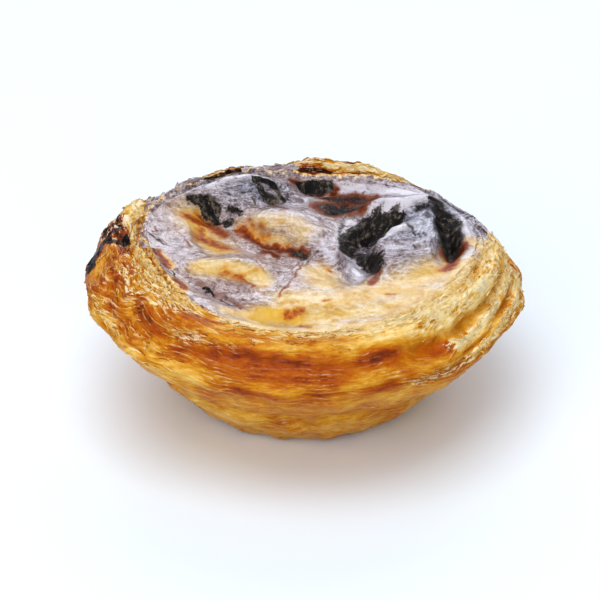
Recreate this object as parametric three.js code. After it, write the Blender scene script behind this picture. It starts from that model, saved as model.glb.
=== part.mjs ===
// A Portuguese custard tart: a cup of laminated pastry, and the scorched custard that fills it.
// Millimetres, +Z up, with the origin at the centre of the foot that the tart stands on.
// "turn" is the angle round the tart in degrees: 0 at the front (-Y), 90 at the right (+X),
// 180 at the back and 270 at the left.
import * as THREE from "three";

// ---- Driving sizes -------------------------------------------------------------------------

const FOOT_RADIUS = 17.5; // the flat disc that the tart stands on
const BRIM_RADIUS = 39.6; // the widest ring of the pastry
const BRIM_HEIGHT = 21.3;
const FILL_RADIUS = 29.3; // mean radius of the custard where it meets the lip
const FILL_HEIGHT = 27.7; // and its mean height there
const FLOOR_HEIGHT = 3.4; // thickness of pastry under the custard
const BOWL_SQUARENESS = 2.5; // exponent of the superellipse that the filled hollow follows
const SKIN_GAP = 0.3; // clearance between custard and pastry
const CUSTARD_SAG = 1.6; // how far the custard sinks between its edge and its middle

const COLUMNS = 104; // sections round the tart, shared by pastry and custard
const OUTLINE_STEPS = 27; // steps along the outside of the pastry, from foot to fill edge
const BOWL_STEPS = 7; // steps down the hollow, from fill edge to floor centre
const RINGS = 16; // rings across the custard's top

// ---- Rules for the uneven shape ------------------------------------------------------------

const DEGREE = Math.PI / 180;

// A quantity that swells and shrinks round the tart, as a mean and [waves, size, turn of the peak].
const aroundTart = (mean, waves) => (turn) =>
  waves.reduce((sum, [count, size, peak]) => sum + size * Math.cos((count * turn - peak) * DEGREE), mean);

const fillRadius = aroundTart(FILL_RADIUS, [[1, 3.2, 174], [3, 1.5, 335], [5, 0.25, 140]]);
const fillHeight = aroundTart(FILL_HEIGHT, [[1, 0.9, 178], [2, 0.5, 230]]);
const crestRise = aroundTart(1.2, [[1, 0.8, 215], [2, 0.5, 20], [5, 0.2, 60]]);
const brimSwell = aroundTart(0, [[2, 0.35, 150], [3, 0.3, 20], [5, 0.25, 80], [9, 0.2, 10]]);
const brimLift = aroundTart(0.2, [[1, 0.8, 215], [4, 0.35, 30], [7, 0.25, 100]]);

// Shortest way round from one turn to another, -180 to 180 degrees.
const turnBetween = (a, b) => ((((b - a) % 360) + 540) % 360) - 180;

const bell = (distance) => Math.exp(-distance * distance);

// ---- Pastry cup ----------------------------------------------------------------------------

// Stations along the outside of the pastry: the index is the place that "along" counts.
// The cup flares from the foot, steps in under the brim, and rolls over to the fill edge.
function outlineStations(turn) {
  const fill = new THREE.Vector2(fillRadius(turn), fillHeight(turn));
  const brim = new THREE.Vector2(BRIM_RADIUS + brimSwell(turn), BRIM_HEIGHT + brimLift(turn));
  const rim = brim.x - fill.x; // width of the rolled rim
  const rise = crestRise(turn);
  return [
    new THREE.Vector2(FOOT_RADIUS, 0), // 0 foot
    new THREE.Vector2(FOOT_RADIUS + 3.0, 1.0), // 1
    new THREE.Vector2(FOOT_RADIUS + 6.8, 4.3), // 2 cup
    new THREE.Vector2(FOOT_RADIUS + 10.4, 8.2), // 3
    new THREE.Vector2(FOOT_RADIUS + 12.2, 10.3), // 4 step under the brim
    new THREE.Vector2(brim.x - 6.4, brim.y - 7.2), // 5
    new THREE.Vector2(brim.x - 1.9, brim.y - 3.3), // 6
    brim, // 7 brim
    new THREE.Vector2(brim.x - 0.7, brim.y + 2.3), // 8
    new THREE.Vector2(brim.x - 0.3 * rim, brim.y + 4.6), // 9 shoulder
    new THREE.Vector2(fill.x + 0.46 * rim, fill.y + 0.3 + 0.4 * rise), // 10
    new THREE.Vector2(fill.x + 0.24 * rim, fill.y + rise), // 11 crest
    new THREE.Vector2(fill.x + 0.08 * rim, fill.y + 0.55 * rise), // 12 lip
    fill, // 13 fill edge
  ];
}
const LAST_STATION = 13;

// Leaves and folds of the pastry: bands that run round part of the brim, sunk (-) or raised (+).
// "along" is the station at the first and last turn of the band, "wide" is in stations.
const BANDS = [
  { name: "split between crest and brim", turns: [-95, 128], along: [8.4, 8.8], wide: 0.6, rise: -1.2 },
  { name: "leaf above the split", turns: [-85, 70], along: [9.8, 9.9], wide: 0.6, rise: 0.7 },
  { name: "split in the brim, right", turns: [34, 118], along: [7.6, 8.2], wide: 0.45, rise: -0.9 },
  { name: "seam under the brim", turns: [-100, 100], along: [6.2, 6.2], wide: 0.5, rise: -0.5 },
  { name: "step round the cup", turns: [0, 360], along: [4, 4], wide: 0.55, rise: -0.8 },
  { name: "split behind the crest", turns: [130, 238], along: [9.4, 9.7], wide: 0.5, rise: -1.2 },
];

function bandDepth({ turns, along, wide, rise }, turn, station) {
  const length = turns[1] - turns[0];
  const gone = turnBetween(turns[0], turn);
  const travelled = gone < 0 ? gone + 360 : gone;
  if (travelled > length) return 0;
  const share = travelled / length;
  const fade = length >= 360 ? 1 : Math.sin(Math.PI * share) ** 0.5;
  const centre = along[0] + (along[1] - along[0]) * share;
  return rise * fade * bell((station - centre) / wide);
}

// Puffed lumps: "size" is the reach in degrees and in stations.
const PUFFS = [
  { name: "fat roll at the left", turn: 266, along: 8.8, size: [40, 1.6], rise: 1.0 },
  { name: "fold at the left", turn: 288, along: 8.4, size: [9, 0.9], rise: 1.1 },
  { name: "fold at the front left", turn: 310, along: 7.4, size: [11, 0.8], rise: 0.9 },
  { name: "dent between the folds", turn: 299, along: 7.6, size: [5, 1.1], rise: -0.9 },
  { name: "corner at the back left", turn: 250, along: 9.8, size: [9, 1.2], rise: 1.5 },
  { name: "notch at the back left", turn: 231, along: 10.2, size: [6, 1.2], rise: -1.1 },
  { name: "puff at the back", turn: 179, along: 10.2, size: [13, 1.3], rise: 0.8 },
  { name: "flake at the back right", turn: 158, along: 10.2, size: [10, 1.1], rise: 0.6 },
  { name: "low lip at the back right", turn: 128, along: 10.6, size: [20, 1.6], rise: -1.0 },
  { name: "strand at the right", turn: 84, along: 9.4, size: [22, 0.6], rise: 0.7 },
];

const puffHeight = ({ turn: centre, along, size, rise }, turn, station) =>
  rise * bell(turnBetween(centre, turn) / size[0]) * bell((station - along) / size[1]);

// Small crags all over: three crossed waves whose phases drift, so that no two flakes match.
function crag(turn, station) {
  const a = turn * DEGREE;
  const flakes = Math.sin(23 * a + 1.7 * station + 1.3 * Math.sin(5 * a));
  const leaves = Math.sin(3 * station + 2.2 * Math.sin(3 * a + 0.7) + 1.1 * Math.sin(11 * a));
  const dents = Math.sin(13 * a - 2.3 * station + 2.0 * Math.sin(4 * a + station));
  return 0.15 * flakes + 0.18 * leaves + 0.16 * dents;
}

// How far the pastry stands off its plain outline. It is nought on the foot and at the fill edge.
function pastryRelief(turn, station) {
  const bands = BANDS.reduce((sum, band) => sum + bandDepth(band, turn, station), 0);
  const puffs = PUFFS.reduce((sum, puff) => sum + puffHeight(puff, turn, station), 0);
  const fromFoot = Math.min(1, station / 1.5);
  const fromFill = Math.min(1, (LAST_STATION - station) / 1.2);
  return (bands + puffs + crag(turn, station)) * fromFoot * fromFill;
}

function outsideSection(turn) {
  const curve = new THREE.SplineCurve(outlineStations(turn));
  return Array.from({ length: OUTLINE_STEPS + 1 }, (_, step) => {
    const t = step / OUTLINE_STEPS;
    const point = curve.getPoint(t);
    const along = curve.getTangent(t);
    const relief = pastryRelief(turn, t * LAST_STATION);
    point.x += along.y * relief;
    point.y = Math.max(0, point.y - along.x * relief);
    return point;
  });
}

// The hollow that the custard fills, from its edge down to the centre of the floor.
function bowlSection(turn, inset) {
  const depth = fillHeight(turn) - FLOOR_HEIGHT;
  return Array.from({ length: BOWL_STEPS + 1 }, (_, step) => {
    const angle = (step / BOWL_STEPS) * 90 * DEGREE;
    const across = step === BOWL_STEPS ? 0 : Math.cos(angle) ** (2 / BOWL_SQUARENESS);
    const down = Math.sin(angle) ** (2 / BOWL_SQUARENESS);
    return new THREE.Vector2(
      (fillRadius(turn) - inset) * across,
      fillHeight(turn) - depth * down + inset,
    );
  });
}

function pastrySection(turn) {
  const footCentre = new THREE.Vector2(0, 0);
  return [footCentre, ...outsideSection(turn), ...bowlSection(turn, 0).slice(1)];
}

// ---- Custard -------------------------------------------------------------------------------

// Blisters, ridges and hollows of the baked skin: "at" is the centre, "reach" the half widths
// across, behind and in front, "lean" turns the lump, and "plump" squares its sides.
const LUMPS = [
  { name: "blister at the right", at: [20.5, 5], reach: [7.4, 9, 9], lean: -14, plump: 1.8, rise: 2.8 },
  { name: "peak on the blister", at: [24.8, 16.5], reach: [4.4, 5, 3.4], lean: 20, plump: 1, rise: 3.0 },
  { name: "ridge left of the peak", at: [16.5, 16.8], reach: [7, 4, 2.2], lean: -4, plump: 1.4, rise: 3.0 },
  { name: "hollow under the ridge", at: [14.4, 11.2], reach: [4.4, 2.6, 3.4], lean: 18, plump: 1.2, rise: -2.4 },
  { name: "crater", at: [10.2, 1.5], reach: [3, 8, 7], lean: -18, plump: 1.2, rise: -2.6 },
  { name: "fold at the right", at: [26.8, 7], reach: [2, 10, 9], lean: -4, plump: 1, rise: -2.8 },
  { name: "plateau in front", at: [6, -15], reach: [11, 7, 6], lean: 0, plump: 1.6, rise: 1.1 },
  { name: "mound in the middle", at: [-4.6, 14], reach: [9, 6, 3.6], lean: -34, plump: 1.2, rise: 2.6 },
  { name: "trough below the mound", at: [-4.8, 4], reach: [10, 2.8, 3], lean: -38, plump: 1, rise: -1.9 },
  { name: "mound at the front left", at: [-13, -3.5], reach: [7.5, 5, 3], lean: -8, plump: 1.2, rise: 2.0 },
  { name: "ridge at the back left", at: [-12.5, 24.5], reach: [11, 4.5, 2.8], lean: 14, plump: 1.2, rise: 3.2 },
  { name: "pocket under the ridge", at: [-17.5, 18.5], reach: [3.4, 3, 3.4], lean: 0, plump: 1, rise: -2.0 },
  { name: "hollow at the left", at: [-16, 10.5], reach: [5, 5, 5], lean: 0, plump: 1, rise: -1.4 },
  { name: "pit at the back", at: [2, 28], reach: [4.5, 2.4, 2.6], lean: -5, plump: 1, rise: -2.4 },
  { name: "slope at the back right", at: [8.5, 20.5], reach: [5, 4.5, 4], lean: 0, plump: 1, rise: -1.6 },
  { name: "trough at the left", at: [-15, -13.5], reach: [11, 2.4, 2.4], lean: -40, plump: 1, rise: -1.4 },
  { name: "pool at the front", at: [-6.2, -21.5], reach: [7, 2.4, 2.4], lean: -6, plump: 1.4, rise: -1.1 },
];

function lumpHeight({ at, reach, lean, plump, rise }, x, y) {
  const cos = Math.cos(lean * DEGREE);
  const sin = Math.sin(lean * DEGREE);
  const across = ((x - at[0]) * cos + (y - at[1]) * sin) / reach[0];
  const depth = -(x - at[0]) * sin + (y - at[1]) * cos;
  const along = depth / (depth > 0 ? reach[1] : reach[2]);
  return rise * Math.exp(-((across * across + along * along) ** plump));
}

// Height of the custard's skin at a share of the way out, 0 at the middle and 1 at the edge.
function skinHeight(share, turn) {
  const radius = fillRadius(turn) * share;
  const x = radius * Math.sin(turn * DEGREE);
  const y = -radius * Math.cos(turn * DEGREE);
  const settle = 1 - share ** 8; // the skin is pinned to the lip at its edge
  const edge = FILL_HEIGHT + (fillHeight(turn) - FILL_HEIGHT) * share * share;
  const lumps = LUMPS.reduce((sum, lump) => sum + lumpHeight(lump, x, y), 0);
  return edge - CUSTARD_SAG * (1 - share ** 4) + lumps * settle;
}

function custardSection(turn) {
  const top = Array.from({ length: RINGS + 1 }, (_, ring) => {
    const share = (ring / RINGS) ** 0.8;
    return new THREE.Vector2((fillRadius(turn) - SKIN_GAP) * share, skinHeight(share, turn) + SKIN_GAP);
  });
  return [...top, ...bowlSection(turn, SKIN_GAP).slice(1)].reverse();
}

// ---- Solids --------------------------------------------------------------------------------

// A turned solid whose section is worked out anew for each column round the tart.
function turnedSolid(name, section, material) {
  const solid = new THREE.LatheGeometry(section(0), COLUMNS);
  const position = solid.getAttribute("position");
  const stations = position.count / (COLUMNS + 1);
  for (let column = 0; column <= COLUMNS; column++) {
    const turn = (360 * (column % COLUMNS)) / COLUMNS;
    section(turn).forEach((point, station) => {
      const x = point.x * Math.sin(turn * DEGREE);
      const y = -point.x * Math.cos(turn * DEGREE);
      position.setXYZ(column * stations + station, x, y, point.y);
    });
  }
  solid.computeVertexNormals();
  const mesh = new THREE.Mesh(solid, material);
  mesh.name = name;
  return mesh;
}

const pastryFinish = new THREE.MeshStandardMaterial({ color: 0xd09a48, roughness: 0.55, metalness: 0 });
const custardFinish = new THREE.MeshStandardMaterial({ color: 0xe6c27a, roughness: 0.25, metalness: 0 });

const tart = new THREE.Group();
tart.name = "custard_tart";
tart.add(turnedSolid("pastry_shell", pastrySection, pastryFinish));
tart.add(turnedSolid("custard", custardSection, custardFinish));

export default tart;
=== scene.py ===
import math

import bmesh
import bpy
import numpy as np
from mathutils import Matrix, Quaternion, Vector, noise


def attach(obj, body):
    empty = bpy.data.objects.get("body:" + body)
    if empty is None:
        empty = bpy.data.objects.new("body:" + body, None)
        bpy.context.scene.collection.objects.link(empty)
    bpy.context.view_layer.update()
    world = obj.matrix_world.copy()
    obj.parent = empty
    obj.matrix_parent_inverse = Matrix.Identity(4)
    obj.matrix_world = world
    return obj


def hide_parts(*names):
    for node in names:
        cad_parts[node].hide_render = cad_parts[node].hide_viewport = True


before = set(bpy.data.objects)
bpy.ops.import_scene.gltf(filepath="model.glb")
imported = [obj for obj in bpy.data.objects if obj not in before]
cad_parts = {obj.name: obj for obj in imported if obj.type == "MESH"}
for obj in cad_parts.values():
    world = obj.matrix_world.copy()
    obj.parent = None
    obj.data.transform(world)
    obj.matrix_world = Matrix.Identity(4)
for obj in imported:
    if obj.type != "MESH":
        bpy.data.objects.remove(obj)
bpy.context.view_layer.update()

# "turn" is the angle round the tart in degrees: 0 at the front (-Y), 90 at the right (+X).
# Lengths are in millimetres until a mesh is written.

# ---- Pastry cup ----
# A disc cut from a roll of laminated dough and thumbed up the wall of a small tin. Baked hot, it
# puffs into hundreds of buttery leaves, which split along the brim and brown where they stand proud.

MM = 0.001
FOOT_RADIUS = 17.5
BRIM_RADIUS = 39.6
BRIM_HEIGHT = 21.3
FILL_RADIUS = 29.3
FILL_HEIGHT = 27.7
FLOOR_HEIGHT = 3.4
BOWL_SQUARENESS = 2.5
LAST_STATION = 13
DEGREES_PER_STATION = 7.0

CUP_COLUMNS = 600
COLUMN_TURNS = (np.arange(CUP_COLUMNS) * 360 / CUP_COLUMNS)[None, :]
FOOT_ROWS = 6
CUP_ROWS = 44
RIM_ROWS = 108
RIM_STATION = 6
BOWL_ROWS = 7


def around(turn, mean, waves):
    """A size that swells and shrinks round the tart, from [waves, size, turn of the peak]."""
    return mean + sum(size * np.cos(np.radians(count * turn - peak)) for count, size, peak in waves)


def fill_radius(turn):
    return around(turn, FILL_RADIUS, [(1, 3.2, 174), (3, 1.5, 335), (5, 0.25, 140)])


def fill_height(turn):
    return around(turn, FILL_HEIGHT, [(1, 0.9, 178), (2, 0.5, 230)])


def outline_stations(turn):
    """Radius and height of the stations from the foot, over the brim, to the fill edge."""
    fill_r, fill_z = fill_radius(turn), fill_height(turn)
    brim_r = BRIM_RADIUS + around(turn, 0, [(2, 0.35, 150), (3, 0.3, 20), (5, 0.25, 80), (9, 0.2, 10)])
    brim_z = BRIM_HEIGHT + around(turn, 0.2, [(1, 0.8, 215), (4, 0.35, 30), (7, 0.25, 100)])
    rise = around(turn, 1.2, [(1, 0.8, 215), (2, 0.5, 20), (5, 0.2, 60)])
    rim = brim_r - fill_r
    foot = np.full_like(fill_r, FOOT_RADIUS)
    level = np.zeros_like(fill_r)
    return np.array([
        (foot, level),
        (foot + 3.0, level + 1.0),
        (foot + 6.8, level + 4.3),
        (foot + 10.4, level + 8.2),
        (foot + 12.2, level + 10.3),
        (brim_r - 6.4, brim_z - 7.2),
        (brim_r - 1.9, brim_z - 3.3),
        (brim_r, brim_z),
        (brim_r - 0.7, brim_z + 2.3),
        (brim_r - 0.3 * rim, brim_z + 4.6),
        (fill_r + 0.46 * rim, fill_z + 0.3 + 0.4 * rise),
        (fill_r + 0.24 * rim, fill_z + rise),
        (fill_r + 0.08 * rim, fill_z + 0.55 * rise),
        (fill_r, fill_z),
    ])


def spline_rows(stations, along):
    """Points of a Catmull-Rom spline through the stations, one row for each place along it."""
    last = len(stations) - 1
    start = np.minimum(along.astype(int), last - 1)
    part = (along - start)[:, None, None]
    before, here = stations[np.maximum(start - 1, 0)], stations[start]
    ahead, beyond = stations[start + 1], stations[np.minimum(start + 2, last)]
    leave, arrive = (ahead - before) / 2, (beyond - here) / 2
    return ((2 * here - 2 * ahead + leave + arrive) * part**3
            + (3 * ahead - 3 * here - 2 * leave - arrive) * part**2 + leave * part + here)


def round_the_tart(turn, radius, height):
    """Turn sections into points: rows of radius and height, one column for each turn."""
    angle = np.radians(turn)
    return np.stack([radius * np.sin(angle), -radius * np.cos(angle), height], axis=-1)


def bowl_points(turn, rows):
    """The hollow that the custard fills, from below its edge to the centre of the floor."""
    angle = np.linspace(0, math.pi / 2, rows + 1)[1:, None]
    across = np.cos(angle).clip(0) ** (2 / BOWL_SQUARENESS)
    down = np.sin(angle) ** (2 / BOWL_SQUARENESS)
    depth = fill_height(turn) - FLOOR_HEIGHT
    across[-1] = 0
    return round_the_tart(turn, fill_radius(turn) * across, fill_height(turn) - depth * down)


def bell(distance):
    return np.exp(-distance**2)


def turn_between(a, b):
    return (b - a + 540) % 360 - 180


# Bands run round part of the brim, sunk (-) or raised (+): first and last turn, the station at
# each, the half width in stations, and the height.
BANDS = [
    ((-95, 128), (8.4, 8.8), 0.6, -1.2),  # split between crest and brim
    ((-85, 70), (9.8, 9.9), 0.6, 0.7),  # leaf above the split
    ((34, 118), (7.6, 8.2), 0.45, -0.9),  # split in the brim, right
    ((-100, 100), (6.2, 6.2), 0.5, -0.5),  # seam under the brim
    ((0, 360), (4, 4), 0.55, -0.8),  # step round the cup
    ((130, 238), (9.4, 9.7), 0.5, -1.2),  # split behind the crest
]
# Grooves where two leaves have come apart: run of (turn, station), half width in stations, depth,
# and how brown the dough is inside.
GROOVES = [
    ([(109, 10.8), (100, 10.05), (92, 9.5), (84, 9.25), (74, 9.1), (58, 9), (33, 9.1)], 0.2, -1.3, 0.16),
    ([(98, 9), (91, 8.65), (86, 8.35), (74, 8.4), (62, 8.25)], 0.14, -0.9, 0.22),
    ([(63, 7.95), (56, 7.95), (46, 8.1)], 0.14, -0.7, 0.22),
    ([(88, 7.6), (77, 7.55), (62, 7.1), (48, 7.3)], 0.1, -0.45, 0.08),
    ([(-34, 9), (-13, 9.1), (-1, 9), (13, 8.75), (21, 9), (42, 9.2)], 0.12, -0.35, 0.03),
    ([(-30, 7.8), (-20, 7), (-7, 6.8), (10, 7), (25, 7.6), (38, 8.1)], 0.1, -0.3, 0.05),
    ([(304, 8), (316, 7.5), (326, 6.8)], 0.1, -0.4, 0.14),
    ([(309, 8.6), (319, 8.6), (329, 8.8), (342, 9)], 0.1, -0.4, 0.14),
    ([(274, 8.5), (287, 8.5), (299, 8.2), (311, 7.8), (325, 7.5)], 0.1, -0.4, 0.12),
    ([(266, 8.8), (275, 9.2), (284, 10.2), (296, 10)], 0.1, -0.4, 0.12),
    ([(270, 7.7), (284, 7.8), (298, 7.4), (310, 7)], 0.1, -0.35, 0.1),
    ([(264, 9.9), (272, 10.5), (286, 11.1), (300, 10.9)], 0.1, -0.4, 0.1),
    ([(264, 11.7), (276, 12.2), (290, 12.2), (303, 11.8)], 0.2, -0.8, 0.3),
    ([(306, 11.9), (322, 12), (338, 12.2)], 0.18, -0.5, 0.3),
    ([(236, 9.8), (240, 10.8), (247, 11.7)], 0.15, -0.9, 0.2),
    ([(248, 9.3), (256, 9.9), (263, 10.9)], 0.14, -0.8, 0.3),
    ([(196, 11.9), (212, 11.6), (230, 11)], 0.15, -0.7, 0.25),
    ([(140, 11), (158, 11.7), (178, 11.8), (194, 11.5)], 0.14, -0.7, 0.25),
    ([(126, 9.2), (150, 9.8), (176, 9.9), (206, 9.6)], 0.13, -0.6, 0.15),
    ([(120, 8), (150, 7.8), (185, 8.2), (222, 8)], 0.13, -0.6, 0.15),
    ([(186, 7.2), (215, 7), (246, 7.4)], 0.12, -0.5, 0.1),
]
# Puffed lumps: turn, station, reach in degrees and in stations, and height.
PUFFS = [
    (266, 8.8, (40, 1.6), 1),  # fat roll at the left
    (288, 8.4, (9, 0.9), 1.1),
    (310, 7.4, (11, 0.8), 0.9),
    (299, 7.6, (5, 1.1), -0.9),
    (250, 9.8, (9, 1.2), 1.5),
    (231, 10.2, (6, 1.2), -1.1),
    (179, 10.2, (13, 1.3), 0.8),
    (158, 10.2, (10, 1.1), 0.6),
    (124, 10.9, (25, 1.8), -2.1),  # low lip at the back right
    (84, 9.4, (22, 0.6), 0.7),
]
# Smaller puffs: thin places that sag between the leaves (-), and swollen strands (+).
BUBBLES = [
    (301, 9.2, (4.2, 0.42), -0.4),
    (314, 9, (5, 0.3), -0.35),
    (299, 8.2, (4.5, 0.32), -0.35),
    (308, 8.5, (3.4, 0.3), -0.3),
    (291, 9.3, (3.4, 0.35), -0.3),
    (288, 8.8, (3, 0.3), -0.3),
    (321, 8.2, (5, 0.28), -0.3),
    (279, 9.7, (4, 0.4), -0.3),
    (58, 8.6, (16, 0.26), 0.5),
    (84, 8.8, (12, 0.2), 0.4),
    (68, 9.85, (7, 0.25), 0.6),  # curl of the lip at the right
    (73, 10.5, (4, 0.3), -0.6),
    (81, 11, (4, 0.25), -0.5),
    (72, 7.9, (18, 0.24), 0.45),
    (20, 7.9, (16, 0.4), 0.25),
    (340, 9.9, (14, 0.5), 0.2),
    (240, 11, (7, 0.8), 0.5),
    (206, 11.2, (9, 0.5), 0.4),
    (166, 11.2, (9, 0.5), 0.4),
]


def band_relief(turn, along):
    height = np.zeros(np.broadcast(turn, along).shape)
    for turns, stations, wide, rise in BANDS:
        length = turns[1] - turns[0]
        share = (turn - turns[0]) % 360 / length
        fade = np.ones_like(share) if length >= 360 else np.sin(math.pi * share.clip(0, 1)).clip(0) ** 0.5
        fade = np.where(share <= 1, fade, 0)
        centre = stations[0] + (stations[1] - stations[0]) * share
        height += rise * fade * bell((along - centre) / wide)
    return height


def puff_relief(puffs, turn, along):
    return sum(
        rise * bell(turn_between(centre, turn) / reach[0]) * bell((along - station) / reach[1])
        for centre, station, reach, rise in puffs
    )


def beside_run(x, y, run):
    """Distance from a run of points, + to its left, and how far along it the nearest point is."""
    nearest, side, gone = np.full(x.shape, 1e9), np.ones(x.shape), np.zeros(x.shape)
    steps = [math.dist(start, end) for start, end in zip(run, run[1:])]
    for index, (start, end) in enumerate(zip(run, run[1:])):
        way_x, way_y = (end[0] - start[0]) / steps[index], (end[1] - start[1]) / steps[index]
        ahead = ((x - start[0]) * way_x + (y - start[1]) * way_y).clip(0, steps[index])
        off_x, off_y = x - start[0] - ahead * way_x, y - start[1] - ahead * way_y
        away = np.hypot(off_x, off_y)
        closer = away < nearest
        nearest = np.where(closer, away, nearest)
        side = np.where(closer, np.where(way_x * off_y - way_y * off_x > 0, 1, -1), side)
        gone = np.where(closer, (sum(steps[:index]) + ahead) / sum(steps), gone)
    return nearest, side, gone


def beside_crust_run(turn, along, run):
    """beside_run on the crust, where seven degrees of turn are about as long as one station."""
    middle = (run[0][0] + run[-1][0]) / 2
    x = turn_between(middle, turn) / DEGREES_PER_STATION
    return beside_run(x, along + 0 * x, [((t - middle) / DEGREES_PER_STATION, a) for t, a in run])


def groove_relief(turn, along):
    """Depth of the grooves, and how brown they are."""
    depth, brown = 0, 0
    for run, wide, sunk, stain in GROOVES:
        away, _, gone = beside_crust_run(turn, along, run)
        ends = np.sin(math.pi * (0.04 + 0.92 * gone)) ** 0.6
        depth = depth + sunk * ends * bell(away / wide)
        brown = brown + stain * ends * bell(away / (1.6 * wide))
    return depth, brown


def crust_stains(runs, turn, along):
    field = 0
    for run, wide, amount in runs:
        field = field + amount * np.exp(-((beside_crust_run(turn, along, run)[0] / wide) ** 2.4))
    return field


def crags(turn, along):
    a = np.radians(turn)
    crumb_glint = np.sin(23 * a + 1.7 * along + 1.3 * np.sin(5 * a))
    leaves = np.sin(3 * along + 2.2 * np.sin(3 * a + 0.7) + 1.1 * np.sin(11 * a))
    dents = np.sin(13 * a - 2.3 * along + 2.0 * np.sin(4 * a + along))
    return 0.15 * crumb_glint + 0.18 * leaves + 0.16 * dents


def noise_over(points, size, shift, octaves=1):
    """Smooth noise over an array of points, with lumps about size across."""
    spots = (points.reshape(-1, 3) / size + shift).tolist()
    if octaves == 1:
        values = [noise.noise(spot) for spot in spots]
    else:
        values = [noise.fractal(spot, 1.0, 2.0, octaves) for spot in spots]
    return np.array(values).reshape(points.shape[:-1])


def surface_normals(points):
    """Unit normals of rows of points that close on themselves round the tart."""
    down_rows = np.gradient(points, axis=0)
    round_columns = np.roll(points, -1, axis=1) - np.roll(points, 1, axis=1)
    normal = np.cross(round_columns, down_rows)
    return normal / np.maximum(np.linalg.norm(normal, axis=-1, keepdims=True), 1e-9)


def set_out(name, data):
    """Stand a mesh, a lamp or a camera in the scene."""
    piece = bpy.data.objects.new(name, data)
    bpy.context.scene.collection.objects.link(piece)
    return piece


JOIN_WITHIN = 1e-7  # metres


def rolled_sheet(name, points, marks, rows_before=0):
    """Roll a flat sheet into the closed body that the rows of points give, and write its marks.

    Rows before and after the marked ones take the marks of the nearest row.
    """
    def rolled(field):
        return np.concatenate([field, field[:, :1]], axis=1)

    sheet = bmesh.new()
    bmesh.ops.create_grid(sheet, x_segments=points.shape[1], y_segments=len(points) - 1, size=1)
    mesh = bpy.data.meshes.new(name)
    sheet.to_mesh(mesh)
    sheet.free()
    mesh.vertices.foreach_set("co", (rolled(points) * MM).ravel())
    for mark, field in marks.items():
        layer = mesh.attributes.new(mark, "FLOAT", "POINT")
        rows_after = len(points) - rows_before - len(field)
        field = np.pad(field, ((rows_before, rows_after), (0, 0)), "edge")
        layer.data.foreach_set("value", rolled(field).astype(np.float32).ravel())

    body = bmesh.new()
    body.from_mesh(mesh)
    seam_and_poles = [vert for vert in body.verts if vert.is_boundary]
    bmesh.ops.remove_doubles(body, verts=seam_and_poles, dist=JOIN_WITHIN)
    bmesh.ops.recalc_face_normals(body, faces=body.faces[:])
    for face in body.faces:
        face.smooth = True
    body.to_mesh(mesh)
    body.free()
    return set_out(name, mesh)


class Finish:
    """A Principled finish, with short ways to wire its nodes."""

    def __init__(self, name, **settings):
        self.material = bpy.data.materials.new(name)
        self.material.use_nodes = True
        self.tree = self.material.node_tree
        self.shader = next(n for n in self.tree.nodes if n.type == "BSDF_PRINCIPLED")
        self.wire(**settings)
        place = self.tree.nodes.new("ShaderNodeTexCoord").outputs["Object"]
        self.place = self.vector("SCALE", place, scale=1 / MM)

    def put(self, socket, source):
        if isinstance(source, bpy.types.NodeSocket):
            self.tree.links.new(source, socket)
        else:
            socket.default_value = source

    def wire(self, **sockets):
        """Put a field or a value in sockets of the shader itself."""
        for socket, source in sockets.items():
            self.put(self.shader.inputs[socket.replace("_", " ")], source)

    def step(self, kind, sockets, **settings):
        """Outputs of a new node, with a field or a value in its sockets."""
        node = self.tree.nodes.new("ShaderNode" + kind)
        for name, value in settings.items():
            setattr(node, name, value)
        for socket, source in sockets.items():
            if source is not None:
                self.put(node.inputs[socket], source)
        return node.outputs

    def mark(self, name):
        return self.step("Attribute", {}, attribute_name=name)["Fac"]

    def vector(self, operation, a, b=None, scale=None):
        outputs = self.step("VectorMath", {0: a, 1: b, "Scale": scale}, operation=operation)
        return outputs["Value" if operation == "LENGTH" else "Vector"]

    def math(self, operation, a, b=None, c=None, clamp=False):
        return self.step("Math", {0: a, 1: b, 2: c}, operation=operation, use_clamp=clamp)[0]

    def total(self, *parts, start=0.0):
        """Sum of (field, weight) pairs, from start."""
        for field, weight in parts:
            start = self.math("MULTIPLY_ADD", field, weight, start)
        return start

    def times(self, product, *fields):
        for field in fields:
            product = self.math("MULTIPLY", product, field)
        return product

    def spread(self, field, low, high, out=(0.0, 1.0)):
        """Stretch low..high to the out range, smoothly and no further."""
        sockets = dict(enumerate((field, low, high, *out)))
        return self.step("MapRange", sockets, interpolation_type="SMOOTHSTEP")[0]

    def grain(self, size, detail, rough=0.5, flow=None, place=None):
        """Noise with lumps of about size, in streaks if it flows with a (field, steepness)."""
        sockets = {"Vector": place or self.place, "Scale": 1 / size, "Detail": detail, "Roughness": rough}
        if not flow:
            return self.step("TexNoise", sockets)["Fac"]
        return self.step("TexNoise", {**sockets, "W": self.times(*flow)}, noise_dimensions="4D")["Fac"]

    def ramp(self, field, stops):
        node = self.tree.nodes.new("ShaderNodeValToRGB")
        self.put(node.inputs[0], field)
        ends = node.color_ramp.elements
        while len(ends) < len(stops):
            ends.new(0.5)
        for end, (position, colour) in zip(ends, stops):
            end.position = position
            end.color = tint(colour)
        return node.outputs[0]

    def mix(self, share, a, b):
        return self.step("Mix", {0: share, 6: a, 7: b}, data_type="RGBA")[2]

    def bump(self, height, distance, under=None):
        return self.step("Bump", {"Height": height, "Distance": distance * MM, "Normal": under})[0]


def tint(colour):
    """Linear colour of three 8-bit display values."""
    shares = [value / 255 for value in colour]
    return [s / 12.92 if s <= 0.04045 else ((s + 0.055) / 1.055) ** 2.4 for s in shares] + [1.0]


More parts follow.
